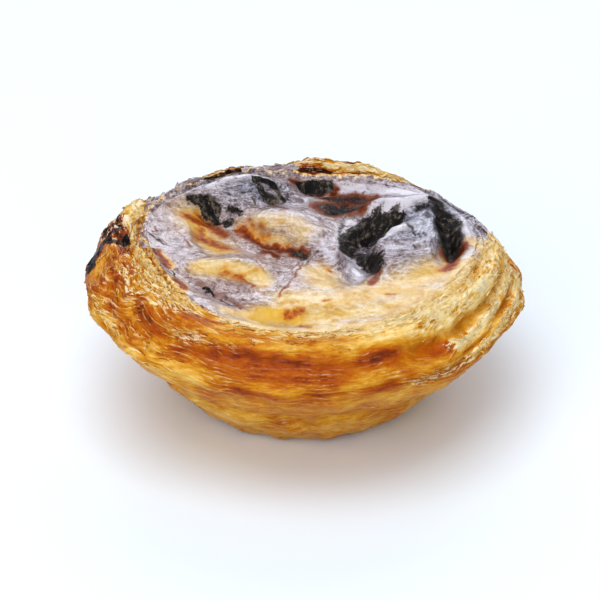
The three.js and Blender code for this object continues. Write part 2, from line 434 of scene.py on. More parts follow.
# How much paler (-) or more toasted (+) the crust is: run of (turn, station), half width, amount.
TOASTED = [
    ([(-26, 9.15), (-13, 9.25), (-1, 9.2), (13, 8.9), (26, 9.15)], 0.32, 0.16),  # brown crease in front
    ([(17, 8.9), (25, 9.15)], 0.4, 0.14),
    ([(-9, 9.1), (-3, 9.1)], 0.25, 0.12),
    ([(-21, 9.2), (-15, 9.25)], 0.25, 0.08),
    ([(-38, 8.6), (-15, 8.45), (0, 8.4), (12, 8.2), (26, 8.4), (42, 8.7)], 0.55, 0.14),  # orange band
    ([(-44, 10.7), (-36, 10.85), (-28, 10.95)], 0.24, 0.26),  # orange leaf under the lip
    ([(-17, 6.95), (-8, 6.8)], 0.3, 0.22),  # brown marks under the brim
    ([(0, 7), (10, 7)], 0.16, 0.18),
    ([(17, 7.1), (23, 7.25)], 0.4, 0.34),
    ([(301, 9.3), (308, 9.25)], 0.38, 0.28),  # orange cells at the left
    ([(293, 8.5), (300, 8.4)], 0.36, 0.24),
    ([(312, 8.9), (318, 8.95)], 0.24, 0.2),
    ([(304, 8.4), (310, 8.3)], 0.26, 0.18),
    ([(284, 9.1), (290, 9.2)], 0.24, 0.18),
    ([(318, 8.25), (325, 8.2)], 0.24, 0.12),
    ([(272, 9.6), (275, 9.65)], 0.2, 0.3),
    ([(267, 10.1), (271, 10.2)], 0.22, 0.28),
    ([(268, 7.9), (276, 7.8), (284, 7.6), (296, 7.2)], 0.3, 0.12),  # red-brown brim at the left
    ([(272, 8.6), (284, 8.6)], 0.4, -0.06),
    ([(110, 12.1), (86, 12.1), (60, 11.7), (36, 11.5), (0, 11.4), (-30, 11.6)], 0.8, -0.26),  # pale lip
    ([(72, 12), (60, 11.6), (44, 11.5), (30, 11.5)], 0.4, -0.2),
    ([(74, 10), (66, 9.9), (58, 10.3), (44, 10.6)], 0.3, -0.26),
    ([(84, 10.4), (92, 10.6), (104, 11)], 0.5, -0.2),
    ([(100, 9.6), (88, 8.95), (78, 8.8), (66, 8.7), (52, 8.55), (46, 8.4)], 0.18, -0.3),  # pale strands
    ([(94, 8), (77, 7.9), (66, 7.6), (50, 7.5)], 0.22, -0.2),
    ([(100, 6.7), (74, 6.4), (46, 6.2)], 0.8, 0.1),
    ([(73, 10.45), (74, 10.55)], 0.25, 0.26),  # amber pockets
    ([(80, 11), (82, 11)], 0.22, 0.26),
    ([(-32, 9.75), (-10, 9.65), (10, 9.7), (34, 10)], 0.2, -0.1),
    ([(276, 11.2), (290, 11.1), (302, 11), (314, 11.2)], 0.6, -0.32),  # flaky lip at the left
    ([(288, 10.1), (297, 10)], 0.5, -0.22),
    ([(262, 12.3), (284, 12.4), (304, 12.2), (318, 12)], 0.5, -0.3),
    ([(275, 9.6), (284, 9.6)], 0.16, -0.3),
    ([(263, 10.9), (270, 11)], 0.5, -0.34),
    ([(238, 11.5), (247, 11), (254, 10.6)], 0.7, -0.42),  # pale leaf at the back left
    ([(236, 12.1), (248, 11.9), (256, 11.2)], 0.12, 0.5),
    ([(153, 11.3), (168, 11.4)], 0.5, -0.3),
    ([(198, 11.4), (216, 11.2)], 0.35, -0.2),
    ([(171, 10.8), (182, 10.8)], 0.26, 0.42),  # browned leaves on the back rim
    ([(171, 12), (178, 11.7), (186, 11.8)], 0.4, 0.44),
    ([(157, 11.8), (165, 11.8)], 0.2, 0.36),
    ([(138, 10.4), (148, 10.25), (158, 10.4), (168, 10.6)], 0.16, 0.5),
    ([(202, 10.9), (211, 10.9), (220, 10.8)], 0.24, 0.4),
    ([(198, 11.85), (204, 11.85)], 0.16, 0.24),
    ([(196, 11.7), (208, 11.75), (220, 11.7)], 0.22, -0.2),
    ([(140, 10.4), (176, 10.8), (212, 10.7), (232, 10.4)], 0.8, -0.26),  # pale back rim
    ([(256, 9.4), (257, 10)], 0.4, 0.34),
    ([(250, 8.2), (262, 8)], 0.5, 0.3),
    ([(180, 9.9), (222, 10)], 0.8, 0.14),
    ([(36, 9.8), (80, 9.6), (116, 9.8)], 3.2, -0.34),  # paler right side
    ([(284, 7.8), (300, 8.2), (316, 8.4), (334, 8.5)], 0.8, -0.12),
    ([(22, 9.2), (32, 9.1), (43, 8.8)], 0.5, 0.24),  # orange end of the groove at the right
    ([(28, 8), (38, 7.2), (48, 7.2)], 0.9, 0.14),
    ([(288, 7), (308, 7), (330, 7.2)], 0.9, -0.16),
    ([(-20, 2.6), (340, 2.6)], 2.6, -0.12),  # paler cup
]
CHARRED = [
    ([(270, 7.9), (265, 8.5), (262.5, 8.95), (263.5, 9.7), (263.5, 10.3)], 0.26, 1.2),  # black fold
    ([(260, 8.7), (258, 9.2), (259, 9.9)], 0.22, 0.8),
    ([(254, 9), (250, 9.6)], 0.2, 0.7),
    ([(203, 11.3), (211, 11.35), (221, 11.3)], 0.14, 1),
    ([(180, 11.7), (188, 11.9)], 0.14, 0.75),
    ([(174, 12.6), (184, 12.5)], 0.12, 0.7),
]
# Where the leaves are frayed to crumbs.
FRAYED = [
    ([(116, 12), (90, 11.9), (64, 11.3), (40, 11.3), (14, 11.6), (-26, 11.8)], 0.8, 0.8),
    ([(112, 12.4), (96, 10.9), (82, 10.2), (56, 10), (40, 10)], 0.5, 0.9),
    ([(100, 9.6), (88, 8.9), (75, 8.8), (60, 8.62), (44, 8.65)], 0.2, 0.8),
    ([(104, 8), (86, 7.8), (66, 7.5), (46, 7.4), (30, 7.3)], 0.5, 0.6),
    ([(258, 11.4), (284, 11.2), (304, 10.8), (314, 11)], 1, 1),
    ([(286, 9.9), (298, 9.9)], 0.6, 0.7),
    ([(284, 8.2), (294, 8), (300, 8)], 0.5, 0.5),
    ([(320, 9.3), (338, 9.3)], 0.25, 0.3),
    ([(250, 9.4), (260, 9.6)], 0.8, 0.8),
    ([(234, 10.8), (254, 10.8)], 1.2, 0.6),
    ([(140, 11.4), (180, 11.6), (226, 11.4)], 1, 0.8),
    ([(120, 8.6), (180, 8.8), (240, 8.4)], 1.6, 0.5),
]
# Where custard boiled over the crust and burnt on.
GLAZED = [
    ([(190, 11.4), (196, 11.6), (202, 12)], 1, 1),
    ([(219, 11.4), (228, 11.6), (238, 11.8)], 1.1, 1.1),
    ([(203, 12.4), (219, 12.4)], 0.4, 0.9),
    ([(240, 12.3), (256, 12.2), (264, 12)], 0.6, 0.8),
    ([(140, 12.3), (160, 12.5), (172, 12.5)], 0.3, 0.8),
    ([(134, 11), (122, 10.6), (108, 10.8)], 1.1, 1.1),
]
# Where thin dough sags between ridges in a net of cells.
NETTED = [
    ([(286, 9.2), (302, 8.8), (318, 8.6)], 1, 1),
    ([(266, 9), (280, 8.6)], 0.8, 0.5),
    ([(318, 7.9), (340, 8)], 0.5, 0.4),
    ([(130, 9), (200, 9)], 1, 0.2),
]
LAYERS_PER_STATION = 3.4
LEVEL_LEAVES = (8, 52)  # turn and reach in degrees of the stretch where the leaves lie level
PROUD = 0.84  # share of a layer's depth at which its edge stands highest
BAKE = 0.47  # how toasted the crust is where nothing is marked


def make_pastry():
    turn = COLUMN_TURNS
    along = np.concatenate([
        np.linspace(0, RIM_STATION, CUP_ROWS, endpoint=False),
        np.linspace(RIM_STATION, LAST_STATION, RIM_ROWS + 1)])
    place = along[:, None]
    outline = spline_rows(outline_stations(turn[0]), along)
    radius, height = outline[:, 0], outline[:, 1]

    relief = band_relief(turn, place) + puff_relief(PUFFS, turn, place) + crags(turn, place)
    held = np.minimum(1, place / 1.5) * np.minimum(1, (LAST_STATION - place) / 1.2)
    step_r, step_z = np.gradient(radius, axis=0), np.gradient(height, axis=0)
    step = np.hypot(step_r, step_z)
    radius = radius + step_z / step * relief * held
    height = np.maximum(0, height - step_r / step * relief * held)
    skin = round_the_tart(turn, radius, height)

    # The leaves: a count of layers that wanders over the dough, each one standing proud at its edge.
    drift = noise_over(skin, 9.0, 3.7)
    wave = noise_over(skin, 3.2, 11.3)
    at, reach = LEVEL_LEAVES
    wander = 1 - 0.75 * bell(turn_between(at, turn) / reach)
    warp_turn = turn + wander * 5 * noise_over(skin, 4.0, 1.9)
    warp_place = place + (0.1 + 0.25 * wander) * noise_over(skin, 3.0, 6.4)
    sunk, browned = groove_relief(turn + 2 * wave, place + 0.12 * wave)
    swell = puff_relief(PUFFS, turn, place) + 1.6 * puff_relief(BUBBLES, turn, place)
    layer = LAYERS_PER_STATION * place + wander * (2.4 * drift + 0.4 * wave) + 0.2 * wave + 1.1 * swell
    share = layer % 1
    edge = np.where(share < PROUD, (share / PROUD) ** 1.8, (1 - share) / (1 - PROUD))
    ragged = noise_over(skin, 1.0, 5.1, octaves=3)
    patchy = noise_over(skin, 5.5, 8.2)
    fray = 0.12 + 0.35 * patchy.clip(0) + crust_stains(FRAYED, warp_turn, warp_place)
    fray = (fray + 0.5 * sunk).clip(0.04, 1)
    fine = sunk + puff_relief(BUBBLES, turn, place)
    fine = fine + (0.06 + 0.2 * fray) * (edge - 0.4) + (0.04 + 0.34 * fray) * ragged
    skin = skin + surface_normals(skin) * (fine * held)[..., None]
    skin[..., 2] = skin[..., 2].clip(0)

    toast = BAKE + 0.12 * patchy + 0.06 * drift + crust_stains(TOASTED, warp_turn, warp_place) + browned
    char = crust_stains(CHARRED, warp_turn, warp_place)
    marks = {
        "layer": layer,
        "toast": toast + (0.04 - 0.14 * edge) * fray,
        "char": (char + 0.5 * ragged * (char > 0.05)).clip(0, 1),
        "fray": fray,
        "net": crust_stains(NETTED, warp_turn, warp_place).clip(0, 1),
        "glaze": crust_stains(GLAZED, warp_turn, warp_place).clip(0, 1.2),
    }

    foot = np.linspace(0, 1, FOOT_ROWS, endpoint=False)[:, None, None] * skin[:1] * [1, 1, 0]
    points = np.concatenate([foot, skin, bowl_points(turn, BOWL_ROWS)])
    return rolled_sheet("pastry", points, marks, FOOT_ROWS), skin, along, marks


def pastry_finish():
    finish = Finish("baked_pastry", Coat_Weight=0.03, Coat_Roughness=0.25, Specular_IOR_Level=0.07)
    spread, times, total = finish.spread, finish.times, finish.total
    mix, ramp, grain = finish.mix, finish.ramp, finish.grain
    layer, toast, fray, net, glaze, char = (
        finish.mark(name) for name in ("layer", "toast", "fray", "net", "glaze", "char"))
    share = finish.math("FRACT", total((layer, 1.0), (grain(0.8, 3), 0.3)))
    streaks = grain(7.0, 3, flow=(layer, 1.2))
    hairs = grain(3.0, 4, 0.6, flow=(layer, 4.0))
    blotches = grain(2.6, 4, 0.62)
    crumb = finish.math("SUBTRACT", grain(2.2, 5, 0.72, flow=(layer, 4.0)), 0.5)
    crumb = times(crumb, total((fray, 3.6), start=0.9))
    cells = finish.math("SUBTRACT", grain(5.0, 2, flow=(layer, 0.45)), 0.5)

    # Low spots of the crumb relief are turned orange-brown: partly darker dough in the gaps, partly painted
    # warm shade in the crevices.
    depth = total(
        (times(cells, net), 0.8), (toast, 1.0), (streaks, 0.4), (hairs, 0.26), (blotches, 0.24),
        (crumb, -0.55), start=-0.45)
    baked = ramp(depth, [
        (0.00, (253, 229, 168)), (0.16, (240, 194, 96)), (0.34, (212, 146, 32)), (0.50, (186, 101, 5)),
        (0.66, (164, 70, 8)), (0.82, (114, 42, 10)), (1.00, (52, 22, 14))])
    netted = times(
        spread(share, 0.62, 0.82), spread(share, 1.0, 0.92), net, spread(hairs, 0.42, 0.58),
        spread(blotches, 0.36, 0.6, out=(0.2, 1.0)))
    baked = mix(times(netted, 0.8), baked, tint((236, 184, 84)))

    # Crisp pale edges and crumbs, partly pale dry dough and partly painted highlight; the glaze of burnt
    # custard, and char that ends in ash.
    pale_edge_glint = times(
        spread(share, 0.6, PROUD), spread(share, 1.0, 0.88),
        spread(total((hairs, 0.5), (crumb, 0.5)), 0.22, 0.34),
        spread(fray, 0.0, 0.6, out=(0.05, 0.7)), spread(blotches, 0.42, 0.56, out=(0.25, 1.0)))
    crumb_glint = times(spread(crumb, 0.08, 0.2), spread(fray, 0.2, 0.8), 0.85)
    baked = mix(finish.math("MAXIMUM", pale_edge_glint, crumb_glint), baked, tint((255, 240, 208)))
    skin = ramp(hairs, [(0.38, (132, 102, 98)), (0.49, (186, 170, 174)), (0.58, (226, 220, 230))])
    glazed = spread(total((glaze, 2.0), (crumb, -0.7), (hairs, 1.2), (blotches, 0.8)), 1.9, 2.2)
    baked = mix(times(glazed, spread(glaze, 0.05, 0.3)), baked, skin)
    black = total((char, 1.0), (blotches, 0.9), (hairs, 0.9))
    charred = spread(char, 0.02, 0.25)
    baked = mix(times(spread(black, 1.0, 1.35), charred), baked, tint((104, 42, 16)))
    ash = ramp(crumb, [(0.0, (14, 10, 9)), (0.08, (44, 34, 32)), (0.3, (120, 96, 84))])
    colour = mix(times(spread(black, 1.25, 1.6), charred), baked, ash)

    normal = finish.bump(total((share, 0.5), (hairs, 0.5), (netted, 0.5), (crumb, 0.8)), 0.25)
    normal = finish.bump(grain(0.45, 3), 0.08, under=normal)
    rough = total((fray, 0.3), (hairs, 0.3), start=0.18)
    finish.wire(Base_Color=colour, Normal=normal, Roughness=rough)
    return finish.material


pastry, pastry_skin, pastry_places, pastry_marks = make_pastry()
pastry.data.materials.append(pastry_finish())
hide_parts("pastry_shell")
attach(pastry, "root")

# ---- Loose leaves ----
# Slivers of the outermost leaves, dry enough to lift off the rim. Each one is a thin curled sheet
# of baked dough that still holds along one side.

LEAF_THICKNESS = 0.07
LEAF_SEED = 5
# Where they lift: run of (turn, station), how far they stray in stations, how many, their length
# and how wide they are for it.
LEAF_BEDS = [
    ([(114, 11.4), (96, 11), (78, 10.6), (60, 10.6), (40, 10.9)], 0.6, 280, 1.5, 0.3),  # lip at the right
    ([(100, 9.6), (88, 8.95), (76, 8.8), (60, 8.6), (46, 8.5)], 0.12, 110, 2.4, 0.16),
    ([(104, 10.2), (90, 9.6), (72, 9.3), (50, 9.2)], 0.5, 120, 2.2, 0.14),
    ([(100, 8), (84, 7.8), (66, 7.5), (46, 7.4)], 0.3, 130, 1.4, 0.3),
    ([(40, 11.5), (10, 11.5), (-26, 11.7)], 0.4, 110, 1.8, 0.2),  # lip in front
    ([(44, 10.2), (10, 10), (-30, 10)], 0.5, 60, 2.4, 0.12),
    ([(318, 9.4), (338, 9.3)], 0.15, 26, 2, 0.16),
    ([(262, 11.2), (282, 11.1), (302, 10.8), (314, 11)], 0.5, 300, 1.3, 0.3),  # lip at the left
    ([(268, 9.6), (284, 9.6), (298, 9.8)], 0.4, 90, 1.4, 0.25),
    ([(266, 8.6), (284, 8.6), (304, 8.4), (326, 8.2)], 0.7, 150, 2.2, 0.12),
    ([(250, 12.3), (272, 12.4), (296, 12.4), (312, 12.2)], 0.5, 260, 1.1, 0.4),
    ([(236, 11.2), (248, 11), (256, 10.6)], 0.5, 90, 1.6, 0.3),
    ([(140, 11), (160, 11), (180, 11.2)], 0.5, 110, 1.6, 0.3),  # back rim
    ([(182, 10.9), (210, 11), (232, 10.9)], 0.4, 90, 1.3, 0.3),
]


def make_leaves(skin, places, crust_marks):
    draw = np.random.default_rng(LEAF_SEED)
    normals = surface_normals(skin)
    body = bmesh.new()
    layers = {name: body.verts.layers.float.new(name) for name in crust_marks}
    for run, stray, count, length, slender in LEAF_BEDS:
        turns, stations = zip(*run)
        for gone, off in zip(draw.random(count) * (len(run) - 1), draw.normal(0, stray, count)):
            place = np.interp(gone, range(len(run)), stations) + off
            row = min(np.searchsorted(places, place), len(places) - 4)
            column = round(np.interp(gone, range(len(run)), turns) * CUP_COLUMNS / 360) % CUP_COLUMNS
            root, up = Vector(skin[row, column]), Vector(normals[row, column])
            rim_way = Vector(skin[row, (column + 1) % CUP_COLUMNS] - skin[row, column - 1]).normalized()
            rim_way.rotate(Quaternion(up, draw.normal(0, 0.3)))
            side = up.cross(rim_way)
            long = length * draw.uniform(0.5, 1.3)
            wide, lift = long * slender * draw.uniform(0.7, 1.4), draw.uniform(0.05, 0.3)
            twist, layer = draw.uniform(-0.2, 0.2), draw.uniform(0, 60)
            toast = max(0, crust_marks["toast"][row, column] + draw.uniform(-0.4, 0.18))
            leaf = bmesh.ops.create_grid(body, x_segments=4, y_segments=2, size=1)["verts"]
            for vert in leaf:
                u, v = vert.co.x, (vert.co.y + 1) / 2
                vert.co = (root + rim_way * (u * long / 2) + side * (wide * (1 - 0.6 * u * u) * (v - 0.3))
                           + up * ((lift + twist * u) * v * v - 0.05)) * MM
                for name, field in crust_marks.items():
                    vert[layers[name]] = field[row, column]
                vert[layers["toast"]] = toast
                vert[layers["layer"]] = layer + v
                vert[layers["fray"]] = 0.3
                vert[layers["net"]] = 0
    mesh = bpy.data.meshes.new("loose_leaves")
    body.to_mesh(mesh)
    body.free()
    leaves = set_out("loose_leaves", mesh)
    sheet = leaves.modifiers.new("dough_thickness", "SOLIDIFY")
    sheet.thickness = LEAF_THICKNESS * MM
    return leaves


leaves = make_leaves(pastry_skin, pastry_places, pastry_marks)
leaves.data.materials.append(pastry.data.materials[0])
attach(leaves, "root")

# ---- Custard ----
# Egg custard poured in to the lip and baked fiercely. Its skin blisters, sinks in folds as it
# cools, and burns from cream through amber to black on whatever stands up.

CUSTARD_RINGS = 112
SPILL_RINGS = 20
CUSTARD_WALL_ROWS = 8
LIP_ROWS = 56
CUSTARD_SAG = 1.6
SKIN_LIFT = 0.3
EDGE_DIP = 0.35
LIP_FILLET = (238, 48, 1.3)  # where the custard is level with the crust: turn, reach in degrees, rise
BARE_RIM = (68, 30)  # turn and reach of the stretch with few crumbs along the skin's edge
# Where the skin is grey and not brown: centre, and reach across and in depth.
COOL = [((22, 12), (16, 20)), ((-12, 25), (12, 6))]

# Lumps of the skin: centre, reach across, behind and in front, lean in degrees, how square, rise.
LUMPS = [
    ((20.8, 7.5), (7, 10, 12), -10, 1.8, 2.2),  # blister at the right
    ((24.9, 17.6), (4.4, 5, 5.5), 20, 1, 1.9),
    ((16.5, 17.4), (7, 5, 2), -4, 1.4, 2),  # ridge left of the peak
    ((14.4, 11.2), (4.4, 2.6, 3.4), 18, 1.2, -2.4),
    ((10.2, 1.5), (3, 8, 7), -18, 1.2, -2.6),  # crater
    ((12.8, 4.2), (1.7, 1.3, 2.4), -20, 1.2, 1.7),  # torn corner over it
    ((26.8, 7), (2, 10, 9), -4, 1, -2.8),  # fold at the right
    ((6, -15), (11, 7, 6), 0, 1.6, 1.1),  # plateau in front
    ((-4.6, 14), (9, 6, 4.2), -34, 1.2, 2.2),  # mound in the middle
    ((-4.8, 4), (10, 2.8, 3), -38, 1, -1.9),
    ((-13, -3.5), (7.5, 5, 3), -8, 1.2, 2),  # mound at the front left
    ((-12.5, 24.5), (11, 4.5, 2.8), 14, 1.2, 2.9),  # ridge at the back left
    ((-17.5, 18.5), (3.4, 3, 3.4), 0, 1, -2),  # pocket under it
    ((-16, 10.5), (5, 5, 5), 0, 1, -1.4),  # hollow at the left
    ((2, 28), (4.5, 2.4, 2.6), -5, 1, -2.4),  # pit at the back
    ((8.5, 20.5), (5, 4.5, 4), 0, 1, -1.6),
    ((-15, -13.5), (11, 2.4, 2.4), -40, 1, -1.4),  # trough at the left
    ((-6.2, -21.5), (7, 2.4, 2.4), -6, 1.4, -1.1),
]
# Sharper folds along a run of points: reach to the left and right of the run, and rise.
FOLDS = [
    ([(7, 19.4), (12, 17.8), (17.5, 16.4), (22, 17)], (3.4, 0.9), 1.3),  # torn ridge
    ([(17, 13.4), (13.5, 12), (10.2, 9), (9, 4.6)], (1.9, 1.9), -1.6),
    ([(10.4, 4.5), (12.6, 0), (12.4, -3)], (1.3, 1.4), -1.2),
    ([(13.8, -4), (13.8, 0), (12.8, 3.4), (14.4, 5.4), (18.2, 7), (18.6, 11)], (0.6, 3), 1.7),
    ([(24.6, 16.2), (25.4, 12), (26.3, 6), (26.7, 0)], (1.3, 1), -1.5),
    ([(30, 13), (30.4, 6), (29.6, -1)], (1.4, 1.6), 0.9),
    ([(-20, 21.6), (-12.5, 24.4), (-5, 27)], (3.2, 1), 1.1),
    ([(-21, 20.4), (-17, 18.8), (-13.6, 20)], (1.3, 1.5), -1.1),
    ([(-9.4, 24), (-6, 21.8)], (1, 1), -0.9),
    ([(-2, 28.8), (5, 28.6)], (1, 1.3), -1.3),
    ([(-12.4, 13.8), (-8, 10), (-2.8, 6.8), (0.4, 3.8)], (1.3, 1.1), -1),
    ([(2, 3.4), (-1, -3), (-3.6, -8.6)], (4, 0.7), 0.9),  # edge of the plateau in front
    ([(-18.4, -9.6), (-13.2, -13.6)], (0.6, 0.8), -0.6),
    ([(-22, -7), (-15, -10.4), (-8, -12.6)], (1.2, 1.6), -0.5),
    ([(-11.6, -18.8), (-5, -20), (0.4, -21)], (1, 1.8), -0.5),
    ([(-22.6, 14), (-21.4, 6), (-19, 0)], (1.4, 1.8), 0.6),
    ([(4, 12.6), (2, 7), (3.6, 1.6)], (1.6, 2.4), 0.5),
]
# Burn along a run of points, with one run of painted shade: half width and amount. A half is amber and one is
# red-brown.
BURNS_AND_SHADE = [
    ([(13.1, -4.6), (12.8, -7.4), (12, -9.4)], 0.9, 0.75),  # under the black hollow
    ([(26.4, 1.6), (28.2, 2.6)], 1.8, 1.15),  # foot of the fold at the right
    ([(27.2, -1.2), (26, -4.4)], 1.6, 0.74),
    ([(2.6, 21.4), (6.4, 23), (10, 23.6), (12.6, 23)], 2, 0.9),  # slope at the back right
    ([(5.2, 20.2), (7.8, 20.8), (11, 19)], 2.1, 1.1),
    ([(4.4, 25.4), (7.8, 25), (10.8, 24.2)], 1.5, 0.95),
    ([(-2.8, 29.8), (0.4, 29.6), (6.2, 28.6)], 1, 0.8),  # round the pit
    ([(4.9, 28.8), (5.4, 27.2)], 1.1, 0.85),
    ([(-5.9, 20.4), (-3.8, 18.2)], 1.1, 0.62),
    ([(-20, 19), (-18, 18.6), (-16, 17)], 1.1, 0.68),
    ([(-22, 17), (-19.3, 16.6), (-17, 15), (-15.6, 13.2)], 1.7, 0.62),  # amber hollow at the left
    ([(-19.8, 13.4), (-18.8, 11)], 1.4, 0.5),
    ([(-19.8, 10.4), (-17.4, 9.4), (-15, 6)], 2.4, 0.6),
    ([(-23.7, 10.8), (-22.2, 6.7), (-21, 4.7)], 0.35, 0.46),
    ([(-12.3, 13.8), (-10.2, 11), (-8, 9), (-5.6, 7.9), (-2.7, 6.2), (0, 4)], 1, 0.8),  # streak
    ([(-4, 7.2), (-0.4, 4.4)], 1.1, 0.9),
    ([(-10.4, 15), (-8.5, 12.2), (-7.3, 10.4)], 1.1, 0.46),
    ([(-8.2, 7.4), (-5, 5.8)], 0.7, 0.78),
    ([(-0.4, -1.4), (-1.5, -6), (-3.2, -10.2), (-4.6, -14)], 0.4, 0.5),
    ([(-14.6, -6), (-11.8, -7.1)], 1.2, 0.44),
    ([(-12.6, -6.8), (-10.8, -8.2), (-9.2, -9.6)], 0.7, 0.54),
    # painted shade on the front face of the mound at the front left, laid in as a light burn
    ([(-13.6, -8.2), (-7.6, -9.8)], 1, 0.36),
    ([(-9.1, -1.5), (-7.2, -5.7)], 0.3, 0.46),
    ([(-19.4, -7.8), (-17.6, -9.2), (-15.6, -11), (-13, -14)], 1, 0.34),
    ([(-12.8, -15.1), (-11.4, -16)], 0.7, 0.6),
    ([(-3.4, -19.2), (-0.8, -19.3)], 1.3, 0.56),
    ([(-1, -23.8), (0.8, -24.8)], 0.9, 0.5),
    ([(14.4, -13.6), (16, -13.6)], 0.8, 0.4),
    ([(4.1, -2.6), (4.7, -2.8)], 0.6, 0.55),
    ([(3.5, -16.1), (4.2, -16.2)], 0.7, 0.5),
    ([(6, -6.8), (8.4, -8)], 0.5, 0.4),
    ([(-27.3, 0), (-26.1, -2.2), (-24.9, -4.7)], 1, 0.78),  # slots along the lip at the left
    ([(-23.1, -9.4), (-22.2, -11.6), (-21.5, -13.3)], 0.9, 0.82),
    ([(-28, 10), (-28.2, 6)], 0.4, 0.46),
]
# Soot on the faces that the skin folded under, with one run that is partly painted shade: half width and
# amount.
SOOT_AND_SHADE = [
    ([(17.4, 14.2), (14.4, 14.7), (11.6, 14.8), (9, 12.2), (7.8, 8), (8, 5.8)], 1.5, 1.35),  # under the ridge
    ([(16, 14), (13, 13.2), (11, 11.6)], 1.2, 0.9),
    ([(10.6, 7), (11.2, 3), (12.8, 0.4), (13.2, -3.4)], 1.3, 1.25),  # under the flap
    ([(7.3, 18), (6.4, 12), (6.6, 7)], 0.8, 0.6),
    ([(19.4, 8), (20.3, 4.6)], 0.5, 0.7),
    ([(20, 1.6), (20.3, 1)], 0.4, 0.8),
    ([(24.5, 17), (25.3, 12.8), (25.5, 8), (25.8, 4.2)], 1.4, 1.35),  # fold at the right
    ([(26.8, 14), (27.6, 10.4), (27.6, 6.4), (27.2, 4.6)], 1.5, 1.2),
    # left of the peak: dark streaks and specks, partly soot and partly painted shade
    ([(20.8, 14.8), (23.2, 15)], 1, 0.75),
    ([(5.2, 21.2), (8, 21), (10.6, 20)], 2.3, 0.98),  # slope at the back right
    ([(5, 25), (10, 24.2)], 1.2, 0.72),
    ([(-21.8, 21), (-19, 20.8)], 0.8, 0.95),
    ([(-19.6, 21), (-17.3, 20), (-16, 18.2), (-14.2, 16)], 0.9, 1.35),  # pocket at the left
    ([(-14.2, 20.7), (-13, 19.6), (-11.9, 17.6)], 0.6, 0.95),
    ([(-10.2, 22.8), (-9.4, 20.6)], 0.4, 0.7),
    ([(-9.8, 25), (-8.2, 25.6), (-6.4, 25.8), (-5.2, 24.4), (-4.4, 22.8)], 0.6, 1.2),
    ([(-8.6, 24.2), (-7.4, 23.5), (-6.2, 22.7)], 0.8, 1.2),
    ([(-1.2, 29.4), (2, 29.7), (5, 29.2)], 0.9, 1.4),  # pit
    ([(-1.4, 5), (0.2, 3.6)], 0.8, 0.85),
    ([(-29.6, 6.4), (-27.7, 5.6), (-25.8, 3.8)], 0.35, 0.8),
    ([(-28, 0.6), (-27.4, -1)], 0.3, 0.8),
    ([(-24.2, -6), (-23.4, -8.4)], 0.3, 0.9),
    ([(-18.3, -9), (-17, -10.2), (-15.9, -12.2), (-14.6, -14.2), (-13.2, -15.4)], 0.32, 1.15),
]
# Where the custard stays cream, and where it is half clear and yellow: half width and amount.
CREAM = [
    ([(-3, -16), (6, -16.4), (15, -11.6), (24, -6)], 5.6, 1),
    ([(2.4, -3.4), (4.4, -10)], 3.6, 1),
    ([(16, -9.2), (23.6, -7.4)], 3, 1),
    ([(30, -13), (32.6, -7), (33, 0), (31.5, 3.5)], 3.2, 0.9),
    ([(27.4, 3), (26, -4)], 2.2, 0.9),
    ([(-27.3, 0), (-26.1, -2.2), (-24.9, -4.7)], 1.3, 1.3),
    ([(-23.1, -9.4), (-21.5, -13.3)], 1.3, 1.5),
    ([(2, -21), (14, -19), (22, -13)], 3.6, 1),
    ([(-9.4, 14.4), (-3, 13), (0, 9.6)], 3.6, 0.72),
    ([(-12, 13.6), (-8, 10.6), (-3.4, 7.4)], 1.7, 0.8),
    ([(-18.6, -4), (-12.7, -5), (-7.6, -8)], 2.8, 1),
    ([(-21.4, 16.8), (-18.6, 11.4), (-15.6, 5)], 4.4, 1),
    ([(-13, -19), (-6, -18.6), (4, -23)], 2.8, 1),
    ([(-13, -24), (0, -27), (15, -24), (25, -14), (29.5, -4)], 3.6, 1),
]
CLEAR = [
    ([(-10.4, -17.8), (-6.8, -18.9), (-3.3, -19.8), (-1, -20)], 1.7, 1.6),
    ([(-13.4, -15), (-11.4, -16.4)], 1.2, 0.9),
    ([(-16, -6), (-12, -7.2)], 1.4, 0.6),
    ([(-20.7, 15.7), (-19.6, 11.8), (-16.3, 8), (-14.7, 4.8)], 2.2, 1.3),
    ([(13.5, -12.9), (15.2, -13.5), (17.5, -12.1), (19.6, -12.5)], 1.2, 1.3),
    ([(-9, 13.6), (-7, 11)], 1.2, 0.8),
    ([(-0.7, -21.6), (2, -25.4)], 1.3, 0.8),
    ([(4, -17), (12, -16)], 1.6, 0.45),
]
# Painted sheen: where the skin is painted pale lavender-white for the reflection of the bright light behind
# it: half width and amount.
PAINTED_SHEEN = [
    ([(12.4, 17.2), (14.7, 16.9), (17.5, 16.1), (20.2, 16.8), (23, 17.3)], 1.2, 1.2),  # top of the torn ridge
    ([(4.5, 27.8), (10, 27.2), (16, 25.6), (22, 22.6)], 2, 0.85),
    ([(30, 13), (31.2, 5), (31, -1)], 2.2, 0.55),
    ([(33, -2), (31, -9), (27.5, -15.5), (20, -23)], 1.8, 1),
    ([(8.4, 4.4), (9.6, 4.2)], 0.9, 1.1),
    ([(9.2, 2.4), (9.6, -1), (10, -5)], 1.2, 1.2),
    ([(12.2, 4.6), (15, 5.6), (18, 6.8)], 1.4, 1.3),  # flap
    ([(16, 1), (22, 2)], 2.6, 0.42),
    ([(-27, 10), (-24, 2), (-20, -4)], 3.2, 0.25),
    ([(-17.5, 23.6), (-12, 25.4), (-8, 27)], 1.5, 0.9),
    ([(1, 9), (4, 4), (5, 0)], 1.6, 0.5),
    ([(-9, -2), (-5.4, -8), (-7.6, -13)], 2.4, 0.15),
    ([(-3, 18), (2, 15)], 2, 0.5),
]
# Where the skin overruns the lip of the crust: turn, reach in degrees and width.
SPILLS = [
    (120, 22, 10.5), (158, 16, 1.2), (194, 12, 1.6), (208, 20, 2.4), (234, 14, 3.2),
    (256, 10, 1.6), (330, 30, 0.4), (70, 20, 3.6), (34, 20, 1.1)]


